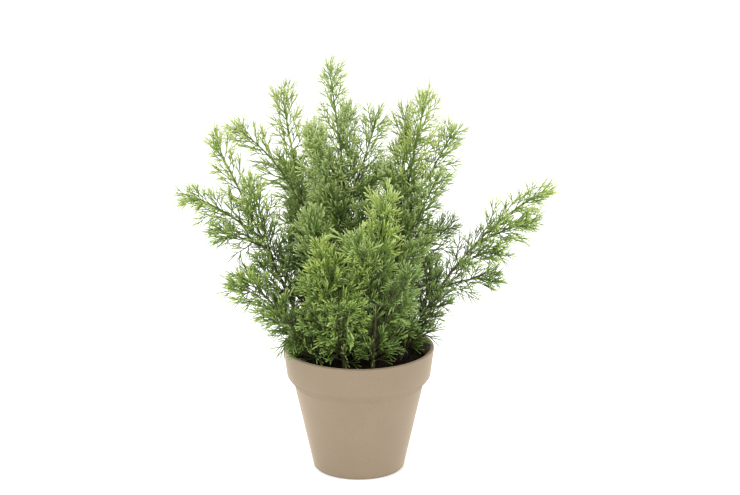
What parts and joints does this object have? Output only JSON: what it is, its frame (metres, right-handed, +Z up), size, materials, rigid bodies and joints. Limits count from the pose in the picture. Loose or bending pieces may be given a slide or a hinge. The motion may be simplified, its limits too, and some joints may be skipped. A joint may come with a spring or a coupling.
{
  "type": "artificial potted tree",
  "caption": "Small tabletop artificial tree: feathery green plastic sprays on bendable wired stems, set in a weighted, tapered taupe pot with a deep collar.",
  "frame": {"origin": "pot's axis at the flat underside it stands on", "axes": "+Z up along the pot's axis; +X to the right of the front view, towards the long side spray; front faces -Y"},
  "size_m": [0.3383, 0.1979, 0.3847],
  "materials": {
    "pot": "matt taupe, faintly pebbled, moulded",
    "ballast": "rough grey cast cement",
    "foam": null,
    "soil": null,
    "wire": "bare drawn wire",
    "stem": "brown moulded plastic over the wire",
    "foliage": "satin green moulded needles, yellower at the tips"
  },
  "bodies": {
    "planter": {"pot": "pot", "ballast": "ballast", "foam_core": "foam", "soil_top": "soil", "wire_centre": "wire", "wire_left_tall": "wire", "wire_left_wide": "wire", "wire_left_low": "wire", "wire_right_tall": "wire", "wire_right_long": "wire", "wire_front_left": "wire", "wire_front_right": "wire", "wire_back_left": "wire", "wire_back_right": "wire"},
    "spray_centre": {"stem_centre": "stem", "plume_centre_1": "foliage", "plume_centre_2": "foliage", "plume_centre_3": "foliage", "plume_centre_4": "foliage"},
    "spray_left_tall": {"stem_left_tall": "stem", "plume_left_tall_1": "foliage", "plume_left_tall_2": "foliage", "plume_left_tall_3": "foliage"},
    "spray_left_wide": {"stem_left_wide": "stem", "plume_left_wide_1": "foliage", "plume_left_wide_2": "foliage", "plume_left_wide_3": "foliage", "plume_left_wide_4": "foliage"},
    "spray_left_low": {"stem_left_low": "stem", "plume_left_low_1": "foliage", "plume_left_low_2": "foliage", "plume_left_low_3": "foliage"},
    "spray_right_tall": {"stem_right_tall": "stem", "plume_right_tall_1": "foliage", "plume_right_tall_2": "foliage", "plume_right_tall_3": "foliage", "plume_right_tall_4": "foliage"},
    "spray_right_long": {"stem_right_long": "stem", "plume_right_long_1": "foliage", "plume_right_long_2": "foliage", "plume_right_long_3": "foliage", "plume_right_long_4": "foliage"},
    "spray_front_left": {"stem_front_left": "stem", "plume_front_left_1": "foliage", "plume_front_left_2": "foliage", "plume_front_left_3": "foliage"},
    "spray_front_right": {"stem_front_right": "stem", "plume_front_right_1": "foliage", "plume_front_right_2": "foliage", "plume_front_right_3": "foliage"},
    "spray_back_left": {"stem_back_left": "stem", "plume_back_left_1": "foliage", "plume_back_left_2": "foliage", "plume_back_left_3": "foliage"},
    "spray_back_right": {"stem_back_right": "stem", "plume_back_right_1": "foliage", "plume_back_right_2": "foliage", "plume_back_right_3": "foliage"}
  },
  "joints": [
    {"name": "bend_centre", "type": "hinge", "parent": "planter", "child": "spray_centre", "pos_m": [-0.00205, 0.00564, 0.11], "axis": [-0.2588, -0.9659, 0], "range_deg": [-6, 6]},
    {"name": "bend_left_tall", "type": "hinge", "parent": "planter", "child": "spray_left_tall", "pos_m": [-0.02078, 0.012, 0.11], "axis": [-0.342, -0.9397, 0], "range_deg": [-6, 20]},
    {"name": "bend_left_wide", "type": "hinge", "parent": "planter", "child": "spray_left_wide", "pos_m": [-0.0419, -0.00293, 0.11], "axis": [0, -1, 0], "range_deg": [-6, 20]},
    {"name": "bend_left_low", "type": "hinge", "parent": "planter", "child": "spray_left_low", "pos_m": [-0.03388, -0.02647, 0.11], "axis": [0.4384, -0.8988, 0], "range_deg": [-6, 20]},
    {"name": "bend_right_tall", "type": "hinge", "parent": "planter", "child": "spray_right_tall", "pos_m": [0.02078, 0.012, 0.11], "axis": [-0.1392, 0.9903, 0], "range_deg": [-6, 20]},
    {"name": "bend_right_long", "type": "hinge", "parent": "planter", "child": "spray_right_long", "pos_m": [0.03913, -0.00832, 0.11], "axis": [-0.0523, 0.9986, 0], "range_deg": [-6, 20]},
    {"name": "bend_front_left", "type": "hinge", "parent": "planter", "child": "spray_front_left", "pos_m": [-0.013, -0.03571, 0.11], "axis": [0.9063, -0.4226, 0], "range_deg": [-6, 20]},
    {"name": "bend_front_right", "type": "hinge", "parent": "planter", "child": "spray_front_right", "pos_m": [0.013, -0.03571, 0.11], "axis": [0.9272, 0.3746, 0], "range_deg": [-6, 20]},
    {"name": "bend_back_left", "type": "hinge", "parent": "planter", "child": "spray_back_left", "pos_m": [-0.01972, 0.03708, 0.11], "axis": [-0.8829, -0.4695, 0], "range_deg": [-6, 20]},
    {"name": "bend_back_right", "type": "hinge", "parent": "planter", "child": "spray_back_right", "pos_m": [0.01972, 0.03708, 0.11], "axis": [-0.866, 0.5, 0], "range_deg": [-6, 20]}
  ]
}
